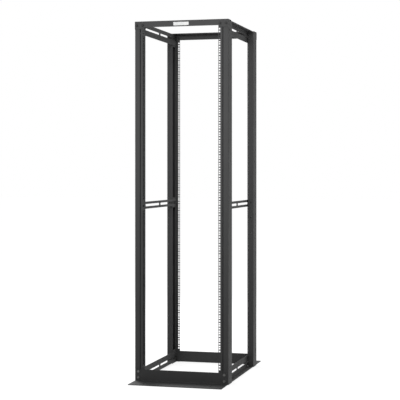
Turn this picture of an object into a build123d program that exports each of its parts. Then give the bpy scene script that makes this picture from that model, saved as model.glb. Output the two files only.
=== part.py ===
from build123d import *
import os

# Four post open frame rack for 19 inch equipment, formed steel, bolted together.
# Millimetres, +Z up, +X to the right, +Y to the rear. The origin is on the floor,
# in the middle between the four posts.

# Driving sizes of the whole rack
HEIGHT = 2133.6           # floor to the top of the crossbars, 84 in
DEPTH = 762.0             # front mounting face to rear mounting face, 30 in
RACK_OPENING = 450.85     # clear width between two mounting flanges
UNIT_HEIGHT = 44.45       # one rack unit

# Post: one sheet bent to a box with a mounting flange, seen from above
POST_SHEET = 2.5
POST_BEND = 1.0           # inner bend radius
POST_FLANGE = 23.5        # inner wall to the free edge of the mounting flange
POST_BOX = 36.5           # outer wall to inner wall, over both
POST_DEPTH = 94.0
POST_FRONT_STRIP = 30.5   # outer wall to the open seam in the front face

# Tall windows in the inner wall of each post, between what is bolted to that wall
WINDOW_FRONT_INSET = 26.0  # mounting face to the window
WINDOW_BACK_INSET = 8.0    # back of the post to the window
WINDOW_BAR_GAP = 10.0      # rail or brace to the end of the window
WINDOW_CORNER = 6.0

# Square holes for cage nuts, three to a rack unit
SQUARE_HOLE = 9.5
HOLE_SPACING = 465.1      # from the left row to the right row
HOLE_RISES = (6.35, 22.225, 38.1)
FIRST_UNIT = 83.0         # floor to the bottom of the lowest rack unit

# Round holes in the post walls: heights above the floor and places in the wall
ACCESSORY_HOLE = 9.5
OUTER_HOLES_MIDDLE = (817.0, 1090.0, 1305.0)
OUTER_HOLE_LOW = 100.0
OUTER_HOLE_HIGH_DROP = 61.6
OUTER_HOLE_MIDDLE_DEPTH = 66.0
OUTER_HOLE_END_DEPTH = 34.0
INNER_FACE_HOLE = 6.5
INNER_FACE_HOLES = (850.0, 950.0, 1045.0, 1205.0)
INNER_FACE_HOLE_INSET = 16.5

# Crossbar: angle over the post tops, with a deeper tab at each end
CROSSBAR_SHEET = 3.0
CROSSBAR_BEND = 1.0
CROSSBAR_DROP = 36.0
CROSSBAR_TAB_DROP = 46.0
CROSSBAR_REACH = 75.0     # post face to the inner edge of the top leg
TAB_SLOPE = 14.0
TAB_BOLTS = ((12.0, 24.0), (49.0, 24.0))

# Base angle: leg on the posts and foot on the floor, outside the rack
BASE_SHEET = 4.0
BASE_BEND = 3.0
BASE_LEG = 70.0
BASE_FOOT = 150.0
BASE_END_INSET = 4.5
BASE_BOLT_INSET = 23.0
BASE_BOLT_HEIGHTS = (22.0, 58.0)
ANCHOR_HOLE = 14.0
ANCHOR_SPACING = 406.0
ANCHOR_REACH = 95.0       # post face to the anchor hole

# Side rail: slotted angle along the inner walls of the posts, leg turned outward
RAIL_SHEET = 2.5
RAIL_BEND = 3.0
RAIL_WEB = 72.0
RAIL_SLOT_DROP = 32.0     # horizontal leg to the middle of the slots
RAIL_SLOT = 12.0
RAIL_TOP_GAP = 1.0        # under the top leg of the crossbar
RAIL_FLOOR_GAP = 3.0
RAIL_LEG_GAP = 1.0        # horizontal leg to the posts

# Middle brace: slotted flat bar along the inner walls of the posts
BRACE_BAR = 43.0
BRACE_HEIGHT = 1040.5     # floor to the middle of the bar
BRACE_SLOT = 14.0

# Ends and slots that rails and braces have in common
BAR_END_INSET = 26.0      # mounting face to the end of the bar
SLOT_END_INSET = 78.0     # mounting face to the end of the slot
SLOT_BRIDGE = 24.0
BAR_BOLT_DEPTHS = (40.0, 62.0)

BOLT_HOLE = 9.0

# Plate on the front crossbar
PLATE_WIDTH = 93.0
PLATE_HEIGHT = 20.0
PLATE_SHEET = 1.0
PLATE_CORNER = 1.5

# Sizes that follow
POST_WIDTH = POST_BOX + POST_FLANGE
WIDTH = RACK_OPENING + 2 * POST_WIDTH
OUTER_X = -WIDTH / 2
FRONT_Y = -DEPTH / 2
INNER_WALL_X = OUTER_X + POST_BOX
RACK_UNITS = int((HEIGHT - CROSSBAR_TAB_DROP - FIRST_UNIT) / UNIT_HEIGHT)
OUTER_HOLES_END = (OUTER_HOLE_LOW, HEIGHT - OUTER_HOLE_HIGH_DROP)
POST_HEIGHT = HEIGHT - CROSSBAR_SHEET - CROSSBAR_BEND
SQUARE_HOLE_INSET = (WIDTH - HOLE_SPACING) / 2
RAIL_TOP = HEIGHT - CROSSBAR_SHEET - RAIL_TOP_GAP
RAIL_SLOT_HEIGHT_TOP = RAIL_TOP - RAIL_SLOT_DROP
RAIL_SLOT_HEIGHT_BOTTOM = RAIL_FLOOR_GAP + RAIL_SLOT_DROP
CUT = 2.0                 # how far a cutter runs past a face


def bent_sheet(path, thickness, bend):
    """Section of a sheet bent along path. The sheet lies to the left of the path."""
    points = [Vector(*point) for point in path]
    runs = [(b - a).normalized() for a, b in zip(points, points[1:])]
    sides = [Vector(-run.Y, run.X) for run in runs]
    far = [points[0] + sides[0] * thickness]
    near_radii, far_radii = [], []
    for corner, before, after in zip(points[1:-1], zip(runs, sides), zip(runs[1:], sides[1:])):
        mitre = (before[1] + after[1]) / (1 + before[1].dot(after[1]))
        far.append(corner + mitre * thickness)
        turns_left = before[0].cross(after[0]).Z > 0
        near_radii.append(bend + thickness if turns_left else bend)
        far_radii.append(bend if turns_left else bend + thickness)
    far.append(points[-1] + sides[-1] * thickness)
    radii = [0, *near_radii, 0, 0, *reversed(far_radii), 0]
    outline = FilletPolyline(*points, *reversed(far), radius=radii, close=True)
    return make_face(outline)


def along_x(section, width):
    """A section drawn in Y and Z, run out along X on both sides of the middle."""
    return extrude(Plane.YZ * section, amount=width / 2, both=True)


def along_y(section, start, end):
    """A section drawn in X and Z, run from one Y to another."""
    plane = Plane(origin=(0, start, 0), x_dir=(1, 0, 0), z_dir=(0, -1, 0))
    return extrude(plane * section, amount=start - end)


def hole_x(y, z, size, x_from, x_to):
    """Cutter for a round hole along X."""
    plane = Plane(origin=(x_from, y, z), z_dir=(1, 0, 0))
    return extrude(plane * Circle(size / 2), amount=x_to - x_from)


def hole_y(x, z, size, y_from, y_to):
    """Cutter for a round hole along Y."""
    plane = Plane(origin=(x, y_from, z), z_dir=(0, 1, 0))
    return extrude(plane * Circle(size / 2), amount=y_to - y_from)


def square_holes():
    """Cutters for the square holes in the mounting flange of the front left post."""
    x = OUTER_X + SQUARE_HOLE_INSET
    y = FRONT_Y + POST_SHEET / 2
    length = POST_SHEET + 2 * CUT
    return [
        Pos(x, y, FIRST_UNIT + unit * UNIT_HEIGHT + rise) * Box(SQUARE_HOLE, length, SQUARE_HOLE)
        for unit in range(RACK_UNITS)
        for rise in HOLE_RISES
    ]


def post_wall_holes():
    """Cutters for the round holes in the outer wall, inner wall and inner face."""
    cutters = []
    places = [(height, OUTER_HOLE_MIDDLE_DEPTH) for height in OUTER_HOLES_MIDDLE]
    places += [(height, OUTER_HOLE_END_DEPTH) for height in OUTER_HOLES_END]
    for height, depth in places:
        x_from, x_to = OUTER_X - CUT, OUTER_X + POST_SHEET + CUT
        cutters.append(hole_x(FRONT_Y + depth, height, ACCESSORY_HOLE, x_from, x_to))
    for height in INNER_FACE_HOLES:
        x = OUTER_X + INNER_FACE_HOLE_INSET
        back = FRONT_Y + POST_DEPTH
        cutters.append(hole_y(x, height, INNER_FACE_HOLE, back - POST_SHEET - CUT, back + CUT))
    for height in (RAIL_SLOT_HEIGHT_BOTTOM, BRACE_HEIGHT, RAIL_SLOT_HEIGHT_TOP):
        for depth in BAR_BOLT_DEPTHS:
            x_from, x_to = INNER_WALL_X - POST_SHEET - CUT, INNER_WALL_X + CUT
            cutters.append(hole_x(FRONT_Y + depth, height, BOLT_HOLE, x_from, x_to))
    return cutters


def post_windows():
    """Cutters for the windows in the inner wall, below and above the middle brace."""
    ends = [
        (RAIL_FLOOR_GAP + RAIL_WEB, BRACE_HEIGHT - BRACE_BAR / 2),
        (BRACE_HEIGHT + BRACE_BAR / 2, RAIL_TOP - RAIL_WEB),
    ]
    depth = POST_DEPTH - WINDOW_FRONT_INSET - WINDOW_BACK_INSET
    middle_y = FRONT_Y + WINDOW_FRONT_INSET + depth / 2
    cutters = []
    for low, high in ends:
        length = high - low - 2 * WINDOW_BAR_GAP
        place = (INNER_WALL_X - POST_SHEET - CUT, middle_y, (low + high) / 2)
        plane = Plane(origin=place, x_dir=(0, 1, 0), z_dir=(1, 0, 0))
        window = RectangleRounded(depth, length, WINDOW_CORNER)
        cutters.append(extrude(plane * window, amount=POST_SHEET + 2 * CUT))
    return cutters


def post_front_holes():
    """Cutters for the bolts of the crossbar and base angle in the front of the post."""
    places = [(OUTER_X + inset, HEIGHT - drop) for inset, drop in TAB_BOLTS]
    places += [(OUTER_X + BASE_BOLT_INSET, height) for height in BASE_BOLT_HEIGHTS]
    y_from, y_to = FRONT_Y - CUT, FRONT_Y + POST_SHEET + CUT
    return [hole_y(x, z, BOLT_HOLE, y_from, y_to) for x, z in places]


def make_post():
    """Front left post: box with a seam in front, windows inside and a mounting flange."""
    back = FRONT_Y + POST_DEPTH
    path = [
        (INNER_WALL_X + POST_FLANGE, FRONT_Y + POST_SHEET),
        (INNER_WALL_X, FRONT_Y + POST_SHEET),
        (INNER_WALL_X, back),
        (OUTER_X, back),
        (OUTER_X, FRONT_Y),
        (OUTER_X + POST_FRONT_STRIP, FRONT_Y),
    ]
    post = extrude(bent_sheet(path, POST_SHEET, POST_BEND), amount=POST_HEIGHT)
    return post - (square_holes() + post_wall_holes() + post_windows() + post_front_holes())


def make_crossbar():
    """Front crossbar: angle over the post tops, bolted to the post faces by its tabs."""
    front = FRONT_Y - CROSSBAR_SHEET
    path = [
        (FRONT_Y + CROSSBAR_REACH, HEIGHT),
        (front, HEIGHT),
        (front, HEIGHT - CROSSBAR_TAB_DROP),
    ]
    bar = along_x(bent_sheet(path, CROSSBAR_SHEET, CROSSBAR_BEND), WIDTH)
    low = HEIGHT - CROSSBAR_TAB_DROP
    high = HEIGHT - CROSSBAR_DROP
    narrow = RACK_OPENING / 2
    wide = narrow + TAB_SLOPE
    opening = Polyline(
        (-wide, low - CUT), (-wide, low), (-narrow, high), (narrow, high), (wide, low),
        (wide, low - CUT), close=True)
    bar -= along_y(make_face(opening), front - CUT, FRONT_Y + CUT)
    cutters = []
    for inset, drop in TAB_BOLTS:
        for x in (OUTER_X + inset, -OUTER_X - inset):
            cutters.append(hole_y(x, HEIGHT - drop, BOLT_HOLE, front - CUT, FRONT_Y + CUT))
    return bar - cutters


def make_base_angle():
    """Front base angle: leg bolted to the post faces, foot with two anchor holes."""
    path = [(FRONT_Y - BASE_FOOT, 0), (FRONT_Y, 0), (FRONT_Y, BASE_LEG)]
    angle = along_x(bent_sheet(path, BASE_SHEET, BASE_BEND), WIDTH - 2 * BASE_END_INSET)
    cutters = []
    for height in BASE_BOLT_HEIGHTS:
        for x in (OUTER_X + BASE_BOLT_INSET, -OUTER_X - BASE_BOLT_INSET):
            y_from, y_to = FRONT_Y - BASE_SHEET - CUT, FRONT_Y + CUT
            cutters.append(hole_y(x, height, BOLT_HOLE, y_from, y_to))
    for x in (-ANCHOR_SPACING / 2, ANCHOR_SPACING / 2):
        cutters.append(Pos(x, FRONT_Y - ANCHOR_REACH, 0) * Cylinder(ANCHOR_HOLE / 2, 4 * BASE_SHEET))
    return angle - cutters


def bar_cutters(height, slot):
    """Cutters for the two slots and the end bolts of a left rail or brace."""
    thickness = RAIL_SHEET + 2 * CUT
    length = DEPTH / 2 - SLOT_BRIDGE / 2 - SLOT_END_INSET
    middle = SLOT_BRIDGE / 2 + length / 2
    web_x = INNER_WALL_X - CUT
    cutters = []
    for side in (-1, 1):
        plane = Plane(origin=(web_x, side * middle, height), x_dir=(0, 1, 0), z_dir=(1, 0, 0))
        cutters.append(extrude(plane * SlotOverall(length, slot), amount=thickness))
        for depth in BAR_BOLT_DEPTHS:
            y = side * (DEPTH / 2 - depth)
            cutters.append(hole_x(y, height, BOLT_HOLE, web_x, web_x + thickness))
    return cutters


def make_top_rail():
    """Top left side rail: web on the inner walls, leg outward between the posts."""
    web_face = INNER_WALL_X + RAIL_SHEET
    path = [(web_face, RAIL_TOP - RAIL_WEB), (web_face, RAIL_TOP), (OUTER_X, RAIL_TOP)]
    end = DEPTH / 2 - BAR_END_INSET
    rail = along_y(bent_sheet(path, RAIL_SHEET, RAIL_BEND), -end, end)
    leg_end = DEPTH / 2 - POST_DEPTH - RAIL_LEG_GAP
    notch = POST_DEPTH + RAIL_LEG_GAP
    leg_width = web_face - OUTER_X + CUT
    bend_height = RAIL_SHEET + RAIL_BEND
    for side in (-1, 1):
        place = Pos(OUTER_X - CUT, side * (leg_end + notch / 2), RAIL_TOP - bend_height)
        align = (Align.MIN, Align.CENTER, Align.MIN)
        rail -= place * Box(leg_width + CUT, notch, bend_height + CUT, align=align)
    return rail - bar_cutters(RAIL_SLOT_HEIGHT_TOP, RAIL_SLOT)


def make_bottom_rail():
    """Bottom left side rail: the top rail turned over, just clear of the floor."""
    rail = mirror(make_top_rail(), about=Plane.XY)
    return Pos(0, 0, RAIL_TOP + RAIL_FLOOR_GAP) * rail


def make_brace():
    """Left middle brace: slotted flat bar on the inner walls of the posts."""
    length = DEPTH - 2 * BAR_END_INSET
    align = (Align.MIN, Align.CENTER, Align.CENTER)
    bar = Pos(INNER_WALL_X, 0, BRACE_HEIGHT) * Box(RAIL_SHEET, length, BRACE_BAR, align=align)
    return bar - bar_cutters(BRACE_HEIGHT, BRACE_SLOT)


def make_plate():
    """Bare plate in the middle of the flat of the front crossbar's drop."""
    flat_top = HEIGHT - CROSSBAR_SHEET - CROSSBAR_BEND
    flat_bottom = HEIGHT - CROSSBAR_DROP
    front = FRONT_Y - CROSSBAR_SHEET
    middle = (flat_top + flat_bottom) / 2
    plane = Plane(origin=(0, front, middle), x_dir=(1, 0, 0), z_dir=(0, -1, 0))
    outline = RectangleRounded(PLATE_WIDTH, PLATE_HEIGHT, PLATE_CORNER)
    return extrude(plane * outline, amount=PLATE_SHEET)


def make_nodes():
    """Every piece of the rack by name, the far ones mirrored from the near ones."""
    post = make_post()
    crossbar = make_crossbar()
    base_angle = make_base_angle()
    nodes = {
        "post_front_left": post,
        "post_front_right": mirror(post, about=Plane.YZ),
        "post_rear_left": mirror(post, about=Plane.XZ),
        "post_rear_right": mirror(mirror(post, about=Plane.XZ), about=Plane.YZ),
        "top_crossbar_front": crossbar,
        "top_crossbar_rear": mirror(crossbar, about=Plane.XZ),
        "base_angle_front": base_angle,
        "base_angle_rear": mirror(base_angle, about=Plane.XZ),
        "label_plate": make_plate(),
    }
    bars = {
        "side_rail_top": make_top_rail(),
        "side_rail_bottom": make_bottom_rail(),
        "mid_brace": make_brace(),
    }
    for name, bar in bars.items():
        nodes[name + "_left"] = bar
        nodes[name + "_right"] = mirror(bar, about=Plane.YZ)
    return nodes


os.makedirs("parts", exist_ok=True)
for name, node in make_nodes().items():
    export_step(node, f"parts/{name}.step")
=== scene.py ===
import math
import random

import bmesh
import bpy
from mathutils import Matrix, Vector


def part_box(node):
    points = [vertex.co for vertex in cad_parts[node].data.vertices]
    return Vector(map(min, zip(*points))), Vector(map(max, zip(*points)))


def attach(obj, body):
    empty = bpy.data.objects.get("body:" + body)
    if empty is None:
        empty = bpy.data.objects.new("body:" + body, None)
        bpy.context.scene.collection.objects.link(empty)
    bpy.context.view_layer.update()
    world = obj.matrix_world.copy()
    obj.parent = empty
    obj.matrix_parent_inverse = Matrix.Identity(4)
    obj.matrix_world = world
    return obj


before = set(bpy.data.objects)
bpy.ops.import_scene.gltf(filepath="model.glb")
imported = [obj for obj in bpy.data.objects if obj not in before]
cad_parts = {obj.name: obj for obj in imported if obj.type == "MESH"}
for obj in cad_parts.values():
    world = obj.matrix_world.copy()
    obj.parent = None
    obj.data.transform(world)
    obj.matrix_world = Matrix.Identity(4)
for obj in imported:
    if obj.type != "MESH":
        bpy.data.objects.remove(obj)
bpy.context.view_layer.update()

# Camera, fitted to the straight edges of the rack in the photograph
CAMERA_PLACE = (1.98885, -7.33921, 1.26815)
CAMERA_TURN = 0.2631
CAMERA_SENSOR = 36.0
CAMERA_LENS = 110.73
CAMERA_SHIFT_UP = -0.0817
CAMERA_REACH = 200.0

# Lowest and highest corners of what the bolts join, and the thickness of its sheet
CROSSBAR_LOW, CROSSBAR_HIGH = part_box("top_crossbar_front")
BASE_ANGLE_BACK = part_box("base_angle_front")[1].y
POST_LOW, POST_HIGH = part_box("post_front_right")
BRACE_LOW, BRACE_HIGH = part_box("mid_brace_right")
POST_SHEET = 0.0025
BASE_SHEET = 0.004

# Bolt places
TAB_BOLT_INSETS = (0.012, 0.049)    # in from the end of the crossbar
TAB_BOLT_DROP = 0.024               # down from the top of the crossbar
BASE_BOLT_INSET = 0.023             # in from the outer wall of the post
BASE_BOLT_HEIGHTS = (0.022, 0.058)  # up from the floor
BAR_BOLT_DEPTHS = (0.040, 0.062)    # back from the mounting face
BAR_SLOT_OFFSET = 0.032             # from a rail's folded edge to its bolts

# M8 bolt, washer and nut
SHANK_RADIUS = 0.004
ACROSS_FLATS = 0.013
HEAD_HEIGHT = 0.0053
CHAMFER_RADIUS = ACROSS_FLATS * 0.475    # flat circle inside the chamfer
CHAMFER_SLOPE = 30.0
DISH_SHARE = 0.8          # width of the dish in the head, as a share of its flat circle
DISH_DEPTH = 0.0003
NUT_HEIGHT = 0.0065
WASHER_RADIUS = 0.008
WASHER_SHEET = 0.0016
WASHER_CHAMFER = WASHER_SHEET / 5
THREAD_PITCH = 0.00125
THREAD_DEPTH = 0.0006
THREADS_PAST_NUT = 3
ROUND_STEPS = 48

# Colours; a pair goes from the dark patches to the pale ones
COAT_COLOURS = ((0.027, 0.0272, 0.0276), (0.034, 0.0342, 0.0345))
DUST_COLOUR = (0.06, 0.06, 0.058)
# The edge colour is partly the thin, rubbed coat on edges and partly a painted highlight, as if the
# edges caught the light
RUBBED_AND_HIGHLIT_COLOUR = (0.075, 0.075, 0.074)
PLATE_COLOURS = ((0.62, 0.63, 0.63), (0.70, 0.70, 0.69))
PLATED_COLOURS = ((0.10, 0.10, 0.10), (0.15, 0.15, 0.147))
BLACKENED_COLOURS = ((0.03, 0.03, 0.03), (0.05, 0.05, 0.05))

# Roughness, from the smoothest patches to the dullest
COAT_ROUGHNESS = (0.60, 0.68)
GRAIN_ROUGHNESS = (-0.03, 0.03)    # what the coat's grain adds
PLATE_ROUGHNESS = (0.28, 0.36)
PLATED_ROUGHNESS = (0.40, 0.52)
BLACKENED_ROUGHNESS = (0.60, 0.72)
COAT_IOR = 1.4

# Size of the finish's marks, as blobs to a metre
GRAIN = 1100.0
ORANGE_PEEL = 260.0
DUST_SPECKS = 420.0
COAT_PATCHES = 9.0
EDGE_RUB_AND_HIGHLIGHT = 60.0
PLATE_PATCHES = 45.0
PLATE_GRAIN = 900.0
STEEL_PATCHES = 350.0
STEEL_GRAIN = 2500.0
# Within this radius of an edge the coat is paler: rubbed coat and a painted highlight
EDGE_RADIUS = 0.0012      # how far in from an edge the coat is rubbed
EDGE_BEND = (0.75, 0.98)  # cosine of the surface's turn, on an edge and on flat sheet

# Height of the finish's bumps
PEEL_HEIGHT = 0.00006
GRAIN_HEIGHT = 0.00003
PLATE_GRAIN_HEIGHT = 0.00003
STEEL_GRAIN_HEIGHT = 0.00002

# Floor: its grey, and the glow that the camera sees on top
FLOOR_HALF = 40.0
FLOOR_GAP = 0.0002        # from the feet down to the floor
FLOOR_GREY = 0.5
FLOOR_SEEN = 0.78

# Surround: the light that it gives, and how bright the camera sees it
WORLD_LIGHT = 0.45
WORLD_SEEN = 1.0

# Lamps: place, the point that they face, size, power, and full angle of the beam
LAMPS = {
    "key_lamp": ((0.4, -4.2, 2.4), (0.0, -0.38, 1.75), 1.5, 14.0, 52.0),
    "back_lamp": ((-3.4, 3.6, 3.2), (0.0, 0.0, 1.2), 2.0, 70.0, 120.0),
}


def add_node(tree, kind, **values):
    """A shader node with some of its inputs or settings filled in."""
    node = tree.nodes.new(kind)
    for name, value in values.items():
        socket = node.inputs.get(name.replace("_", " "))
        if socket is None:
            setattr(node, name, value)
        else:
            socket.default_value = value
    return node


def noise(tree, coordinates, scale, detail=3.0, roughness=0.5):
    """Noise in metres of the object: scale is the number of blobs to a metre."""
    texture = add_node(tree, "ShaderNodeTexNoise", Scale=scale, Detail=detail, Roughness=roughness)
    tree.links.new(coordinates, texture.inputs["Vector"])
    return texture.outputs["Fac"]


def spread(tree, value, low, high, from_low=0.3, from_high=0.7):
    """Maps a value from one range to another, held at both ends."""
    ramp = add_node(tree, "ShaderNodeMapRange")
    ramp.inputs["From Min"].default_value = from_low
    ramp.inputs["From Max"].default_value = from_high
    ramp.inputs["To Min"].default_value = low
    ramp.inputs["To Max"].default_value = high
    tree.links.new(value, ramp.inputs["Value"])
    return ramp.outputs["Result"]


def grey(level):
    """A neutral colour without transparency."""
    return level, level, level, 1.0


def blend_colour(tree, factor, first, second):
    """Goes from the first colour to the second; either is a colour or a socket."""
    mix = add_node(tree, "ShaderNodeMix", data_type="RGBA")
    tree.links.new(factor, mix.inputs["Factor"])
    # Inputs 6 and 7 and output 2 are the ones for colours
    for socket, colour in ((mix.inputs[6], first), (mix.inputs[7], second)):
        if isinstance(colour, tuple):
            socket.default_value = (*colour, 1.0)
        else:
            tree.links.new(colour, socket)
    return mix.outputs[2]


def arithmetic(tree, operation, first, second):
    """One sum on two values; either is a number or a socket."""
    node = add_node(tree, "ShaderNodeMath", operation=operation)
    for socket, value in zip(node.inputs, (first, second)):
        if isinstance(value, (int, float)):
            socket.default_value = value
        else:
            tree.links.new(value, socket)
    return node.outputs["Value"]


def bump(tree, height, distance, strength, under=None):
    """Raises the surface by height, on top of another bump if there is one."""
    node = add_node(tree, "ShaderNodeBump", Distance=distance, Strength=strength)
    tree.links.new(height, node.inputs["Height"])
    if under is not None:
        tree.links.new(under, node.inputs["Normal"])
    return node.outputs["Normal"]


def start_material(name):
    """An empty node material: its tree, its main shader and its object coordinates."""
    material = bpy.data.materials.new(name)
    material.use_nodes = True
    tree = material.node_tree
    shader = tree.nodes["Principled BSDF"]
    coordinates = add_node(tree, "ShaderNodeTexCoord").outputs["Object"]
    return material, tree, shader, coordinates


def edge_mask(tree):
    """Near 1 on sharp edges and 0 on flat sheet."""
    rounded = add_node(tree, "ShaderNodeBevel", Radius=EDGE_RADIUS, samples=6)
    true_normal = add_node(tree, "ShaderNodeNewGeometry").outputs["Normal"]
    dot = add_node(tree, "ShaderNodeVectorMath", operation="DOT_PRODUCT")
    tree.links.new(rounded.outputs["Normal"], dot.inputs[0])
    tree.links.new(true_normal, dot.inputs[1])
    return spread(tree, dot.outputs["Value"], 1.0, 0.0, *EDGE_BEND)


def powder_coat_material():
    """Black textured powder coat: fine grain, orange peel, faint dust, and paler edges that are
    partly rubbed coat and partly a painted highlight.
    """
    material, tree, shader, place = start_material("powder_coat")
    grain = noise(tree, place, GRAIN, detail=2.0)
    peel = noise(tree, place, ORANGE_PEEL, detail=2.0)
    patches = noise(tree, place, COAT_PATCHES, detail=4.0, roughness=0.6)
    specks = noise(tree, place, DUST_SPECKS, roughness=0.7)

    coat = blend_colour(tree, spread(tree, patches, 0.0, 1.0), *COAT_COLOURS)
    dust = arithmetic(tree, "MULTIPLY",
                      spread(tree, specks, 0.0, 0.5, from_low=0.58, from_high=0.75),
                      spread(tree, patches, 0.0, 1.0, from_low=0.45, from_high=0.7))
    coat = blend_colour(tree, dust, coat, DUST_COLOUR)
    # Sharp edges turn paler in patches: partly rubbed coat, partly a painted highlight where bends
    # would catch the light
    rub_and_highlight_noise = noise(tree, place, EDGE_RUB_AND_HIGHLIGHT, detail=5.0, roughness=0.7)
    rubbed_and_highlit = arithmetic(tree, "MULTIPLY", edge_mask(tree),
                      spread(tree, rub_and_highlight_noise, 0.0, 0.4, from_low=0.45, from_high=0.75))
    coat = blend_colour(tree, rubbed_and_highlit, coat, RUBBED_AND_HIGHLIT_COLOUR)
    tree.links.new(coat, shader.inputs["Base Color"])

    satin = arithmetic(tree, "ADD", spread(tree, patches, *COAT_ROUGHNESS),
                       spread(tree, grain, *GRAIN_ROUGHNESS))
    tree.links.new(satin, shader.inputs["Roughness"])
    shader.inputs["IOR"].default_value = COAT_IOR
    surface = bump(tree, peel, PEEL_HEIGHT, strength=0.5)
    surface = bump(tree, grain, GRAIN_HEIGHT, strength=0.6, under=surface)
    tree.links.new(surface, shader.inputs["Normal"])
    return material


def plate_material():
    """Pale bare plate of hard plastic, faintly mottled."""
    material, tree, shader, place = start_material("plate")
    patches = noise(tree, place, PLATE_PATCHES, detail=4.0)
    colour = blend_colour(tree, spread(tree, patches, 0.0, 1.0), *PLATE_COLOURS)
    tree.links.new(colour, shader.inputs["Base Color"])
    tree.links.new(spread(tree, patches, *PLATE_ROUGHNESS), shader.inputs["Roughness"])
    grain = noise(tree, place, PLATE_GRAIN)
    surface = bump(tree, grain, PLATE_GRAIN_HEIGHT, strength=0.4)
    tree.links.new(surface, shader.inputs["Normal"])
    return material


def fastener_material(name, colours, roughness):
    """Plated or blackened steel that is paler and duller in patches."""
    material, tree, shader, place = start_material(name)
    patches = noise(tree, place, STEEL_PATCHES, detail=4.0, roughness=0.6)
    colour = blend_colour(tree, spread(tree, patches, 0.0, 1.0), *colours)
    tree.links.new(colour, shader.inputs["Base Color"])
    dull = spread(tree, patches, *roughness)
    tree.links.new(dull, shader.inputs["Roughness"])
    shader.inputs["Metallic"].default_value = 1.0
    grain = noise(tree, place, STEEL_GRAIN)
    surface = bump(tree, grain, STEEL_GRAIN_HEIGHT, strength=0.4)
    tree.links.new(surface, shader.inputs["Normal"])
    return material


def give_material(obj, material):
    """Puts one material on the whole object."""
    obj.data.materials.clear()
    obj.data.materials.append(material)


def ring(radius, height):
    """Points of a circle round the bolt's axis."""
    turns = [math.tau * step / ROUND_STEPS for step in range(ROUND_STEPS)]
    return [Vector((radius * math.cos(turn), radius * math.sin(turn), height)) for turn in turns]


def hexagon_ring(height, chamfer=0):
    """Points of a hexagon; with chamfer 1 or -1 its corners drop away from that end."""
    points = []
    for step in range(ROUND_STEPS):
        turn = math.tau * step / ROUND_STEPS
        from_flat = (turn + math.pi / 6) % (math.pi / 3) - math.pi / 6
        radius = ACROSS_FLATS / 2 / math.cos(from_flat)
        drop = (radius - CHAMFER_RADIUS) * math.tan(math.radians(CHAMFER_SLOPE))
        points.append(Vector((radius * math.cos(turn), radius * math.sin(turn),
                              height - chamfer * drop)))
    return points


def skin(mesh, rings, place):
    """Closes a stack of rings with quads and caps both ends."""
    loops = [[mesh.verts.new(place @ point) for point in points] for points in rings]
    for lower, upper in zip(loops, loops[1:]):
        for here in range(ROUND_STEPS):
            after = (here + 1) % ROUND_STEPS
            mesh.faces.new((lower[here], lower[after], upper[after], upper[here]))
    mesh.faces.new(loops[0][::-1])
    mesh.faces.new(loops[-1])


def washer(mesh, place, bottom):
    """Flat washer with small edge chamfers, standing on the height bottom."""
    top = bottom + WASHER_SHEET
    skin(mesh, [ring(WASHER_RADIUS - WASHER_CHAMFER, bottom),
                ring(WASHER_RADIUS, bottom + WASHER_CHAMFER),
                ring(WASHER_RADIUS, top - WASHER_CHAMFER),
                ring(WASHER_RADIUS - WASHER_CHAMFER, top)], place)


def bolt_head(mesh, place, seat):
    """Hexagon head with a chamfered rim and a shallow dish, standing on the height seat."""
    top = seat + HEAD_HEIGHT
    skin(mesh, [hexagon_ring(seat),
                hexagon_ring(top, 1),
                ring(CHAMFER_RADIUS, top),
                ring(CHAMFER_RADIUS * DISH_SHARE, top - DISH_DEPTH)], place)


def nut(mesh, place, end, top):
    """Hexagon nut, chamfered at both ends."""
    skin(mesh, [ring(CHAMFER_RADIUS, end),
                hexagon_ring(end, -1),
                hexagon_ring(top, 1),
                ring(CHAMFER_RADIUS, top)], place)


def shank(mesh, place, nut_end, seat):
    """Shank from under the head through the nut, with a few threads past it."""
    root = SHANK_RADIUS - THREAD_DEPTH
    tip = nut_end - THREADS_PAST_NUT * THREAD_PITCH
    rings = [ring(root, tip - THREAD_DEPTH)]
    for thread in range(THREADS_PAST_NUT):
        low = tip + thread * THREAD_PITCH
        rings.append(ring(SHANK_RADIUS, low + THREAD_PITCH / 2))
        rings.append(ring(root, low + THREAD_PITCH))
    rings.append(ring(SHANK_RADIUS, nut_end + THREAD_PITCH / 2))
    rings.append(ring(SHANK_RADIUS, seat))
    skin(mesh, rings, place)


def bolt(mesh, joint, axis, grip, turn):
    """Bolt, two washers and a nut. The head is at joint, towards axis, on a stack of
    sheets that is grip thick."""
    towards_axis = Vector(axis).to_track_quat("Z", "Y").to_matrix().to_4x4()
    place = Matrix.Translation(joint) @ towards_axis @ Matrix.Rotation(turn, 4, "Z")
    nut_top = -grip - WASHER_SHEET
    nut_end = nut_top - NUT_HEIGHT
    washer(mesh, place, 0.0)
    bolt_head(mesh, place, WASHER_SHEET)
    washer(mesh, place, nut_top)
    nut(mesh, place, nut_end, nut_top)
    shank(mesh, place, nut_end, WASHER_SHEET)


def bolts(name, material, places, grip, chance):
    """One piece that holds all the bolts of one kind: places are (joint, axis)."""
    mesh = bmesh.new()
    for joint, axis in places:
        bolt(mesh, joint, axis, grip, chance.uniform(0.0, math.tau))
    bmesh.ops.recalc_face_normals(mesh, faces=mesh.faces)
    data = bpy.data.meshes.new(name)
    mesh.to_mesh(data)
    mesh.free()
    piece = bpy.data.objects.new(name, data)
    bpy.context.scene.collection.objects.link(piece)
    give_material(piece, material)
    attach(piece, "root")


def tab_bolt_places():
    """Bolts through the crossbars' tabs into the post faces, front and rear."""
    face = -CROSSBAR_LOW.y
    height = CROSSBAR_HIGH.z - TAB_BOLT_DROP
    return [(Vector((side * (CROSSBAR_HIGH.x - inset), end * face, height)), (0, end, 0))
            for end in (-1, 1) for side in (-1, 1) for inset in TAB_BOLT_INSETS]


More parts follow.
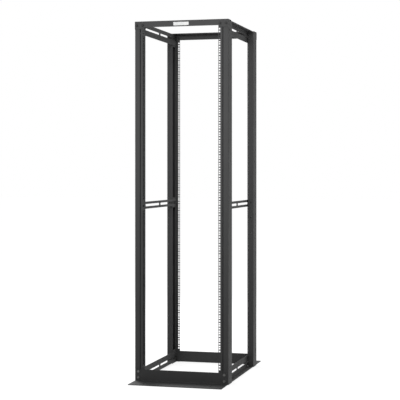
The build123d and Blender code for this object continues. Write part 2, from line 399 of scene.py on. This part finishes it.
def base_bolt_places():
    """Bolts through the base angles' legs into the post faces, front and rear."""
    face = BASE_SHEET - BASE_ANGLE_BACK
    across = POST_HIGH.x - BASE_BOLT_INSET
    return [(Vector((side * across, end * face, height)), (0, end, 0))
            for end in (-1, 1) for side in (-1, 1) for height in BASE_BOLT_HEIGHTS]


def bar_bolt_places():
    """Bolts through the ends of the rails and braces into the posts' inner walls."""
    inner_face = BRACE_LOW.x
    heights = (
        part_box("side_rail_bottom_right")[0].z + BAR_SLOT_OFFSET,
        (BRACE_LOW.z + BRACE_HIGH.z) / 2,
        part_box("side_rail_top_right")[1].z - BAR_SLOT_OFFSET,
    )
    depths = [POST_LOW.y + depth for depth in BAR_BOLT_DEPTHS]
    return [(Vector((side * inner_face, end * depth, height)), (-side, 0, 0))
            for side in (-1, 1) for end in (-1, 1) for depth in depths for height in heights]


def make_fasteners():
    """All the bolts, with their washers and nuts."""
    chance = random.Random(8)
    plated = fastener_material("plated_steel", PLATED_COLOURS, PLATED_ROUGHNESS)
    black = fastener_material("black_steel", BLACKENED_COLOURS, BLACKENED_ROUGHNESS)
    crossbar_sheet = POST_LOW.y - CROSSBAR_LOW.y
    bolts("tab_bolts", black, tab_bolt_places(), crossbar_sheet + POST_SHEET, chance)
    bolts("base_bolts", plated, base_bolt_places(), BASE_SHEET + POST_SHEET, chance)
    bolts("bar_bolts", black, bar_bolt_places(), 2 * POST_SHEET, chance)


def dress_nodes():
    """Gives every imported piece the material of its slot."""
    coat = powder_coat_material()
    plate = plate_material()
    for name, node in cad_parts.items():
        give_material(node, plate if name == "label_plate" else coat)


def seen_directly(tree):
    """1 for rays from the camera, a reflection or glass, and 0 for soft light."""
    path = add_node(tree, "ShaderNodeLightPath")
    seen = arithmetic(tree, "MAXIMUM", path.outputs["Is Camera Ray"], path.outputs["Is Glossy Ray"])
    return arithmetic(tree, "MAXIMUM", seen, path.outputs["Is Transmission Ray"])


def floor_material():
    """Matt grey with a glow on top, which soft light doesn't see."""
    material = bpy.data.materials.new("floor")
    material.use_nodes = True
    tree = material.node_tree
    tree.nodes.clear()
    matt = add_node(tree, "ShaderNodeBsdfDiffuse", Color=grey(FLOOR_GREY))
    glow = add_node(tree, "ShaderNodeEmission", Color=grey(FLOOR_SEEN))
    tree.links.new(seen_directly(tree), glow.inputs["Strength"])
    both = add_node(tree, "ShaderNodeAddShader")
    tree.links.new(matt.outputs["BSDF"], both.inputs[0])
    tree.links.new(glow.outputs["Emission"], both.inputs[1])
    output = add_node(tree, "ShaderNodeOutputMaterial")
    tree.links.new(both.outputs["Shader"], output.inputs["Surface"])
    return material


def make_floor():
    """Pale floor, white to the camera and in reflections, that keeps the rack's shadow."""
    data = bpy.data.meshes.new("floor")
    corners = [(-1, -1), (1, -1), (1, 1), (-1, 1)]
    points = [(x * FLOOR_HALF, y * FLOOR_HALF, -FLOOR_GAP) for x, y in corners]
    data.from_pydata(points, [], [(0, 1, 2, 3)])
    floor = bpy.data.objects.new("floor", data)
    bpy.context.scene.collection.objects.link(floor)
    give_material(floor, floor_material())


def make_world():
    """White surround, with less light on the rack than the camera sees."""
    world = bpy.data.worlds.new("surround")
    bpy.context.scene.world = world
    world.use_nodes = True
    tree = world.node_tree
    strength = spread(tree, seen_directly(tree), WORLD_LIGHT, WORLD_SEEN,
                      from_low=0.0, from_high=1.0)
    tree.links.new(strength, tree.nodes["Background"].inputs["Strength"])
    tree.nodes["Background"].inputs["Color"].default_value = grey(1.0)


def make_lamp(name, place, target, size, power, beam):
    """Soft square lamp that faces a point of the rack; beam is its full angle in degrees."""
    data = bpy.data.lights.new(name, "AREA")
    data.size = size
    data.energy = power
    data.spread = math.radians(beam)
    lamp = bpy.data.objects.new(name, data)
    lamp.location = place
    lamp.rotation_mode = "QUATERNION"
    lamp.rotation_quaternion = (Vector(target) - Vector(place)).to_track_quat("-Z", "Y")
    bpy.context.scene.collection.objects.link(lamp)


def make_camera():
    """Camera of the photograph: level, turned a little to the left."""
    data = bpy.data.cameras.new("camera")
    data.sensor_width = CAMERA_SENSOR
    data.lens = CAMERA_LENS
    data.shift_y = CAMERA_SHIFT_UP
    data.clip_end = CAMERA_REACH
    camera = bpy.data.objects.new("camera", data)
    camera.location = CAMERA_PLACE
    camera.rotation_euler = (math.radians(90.0), 0.0, CAMERA_TURN)
    bpy.context.scene.collection.objects.link(camera)
    bpy.context.scene.camera = camera


dress_nodes()
make_fasteners()
make_floor()
make_world()
for lamp_name, values in LAMPS.items():
    make_lamp(lamp_name, *values)
make_camera()
bpy.context.scene.view_settings.view_transform = "Standard"
